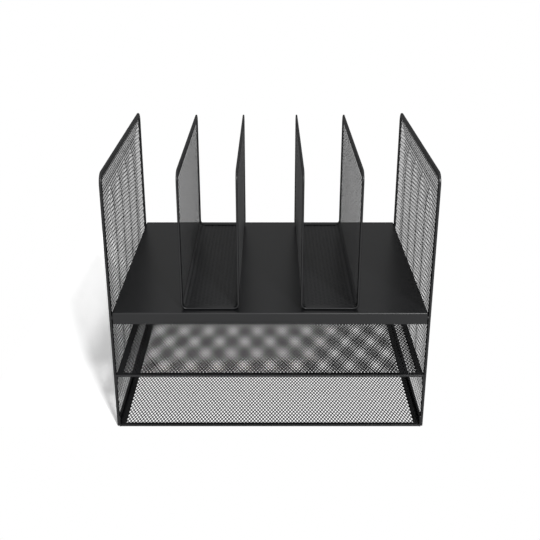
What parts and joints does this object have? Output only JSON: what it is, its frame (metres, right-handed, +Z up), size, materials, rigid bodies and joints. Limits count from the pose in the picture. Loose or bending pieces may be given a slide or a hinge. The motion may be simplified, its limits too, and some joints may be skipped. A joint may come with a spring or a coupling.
{
  "type": "desk organizer",
  "caption": "Free-standing mesh desk organizer: stacked open letter trays below, a solid shelf with U-shaped mesh dividers forming upright file slots above.",
  "frame": {"origin": "middle of the footprint on the desk surface, under the bottom shelf", "axes": "+Z up; the open front with its turned-down shelf edge faces -Y; +X runs across the organizer to the right as seen from the front"},
  "size_m": [0.3358, 0.279, 0.2834],
  "materials": {
    "powder_coat": "fine satin black powder coat on steel sheet",
    "coated_mesh": "black powder coat on expanded steel mesh",
    "black_screws": "black-finished steel screws"
  },
  "bodies": {
    "root": {"top_shelf": "powder_coat", "side_frame_left": "powder_coat", "side_frame_right": "powder_coat", "side_mesh_left": "coated_mesh", "side_mesh_right": "coated_mesh", "middle_shelf_frame": "powder_coat", "middle_shelf_mesh": "coated_mesh", "bottom_shelf_frame": "powder_coat", "bottom_shelf_mesh": "coated_mesh", "divider_frame_left": "powder_coat", "divider_frame_right": "powder_coat", "divider_mesh_left": "coated_mesh", "divider_mesh_right": "coated_mesh", "divider_screws_left": "black_screws", "divider_screws_right": "black_screws", "top_shelf_screws": "black_screws", "middle_shelf_screws": "black_screws", "bottom_shelf_screws": "black_screws"}
  },
  "joints": []
}
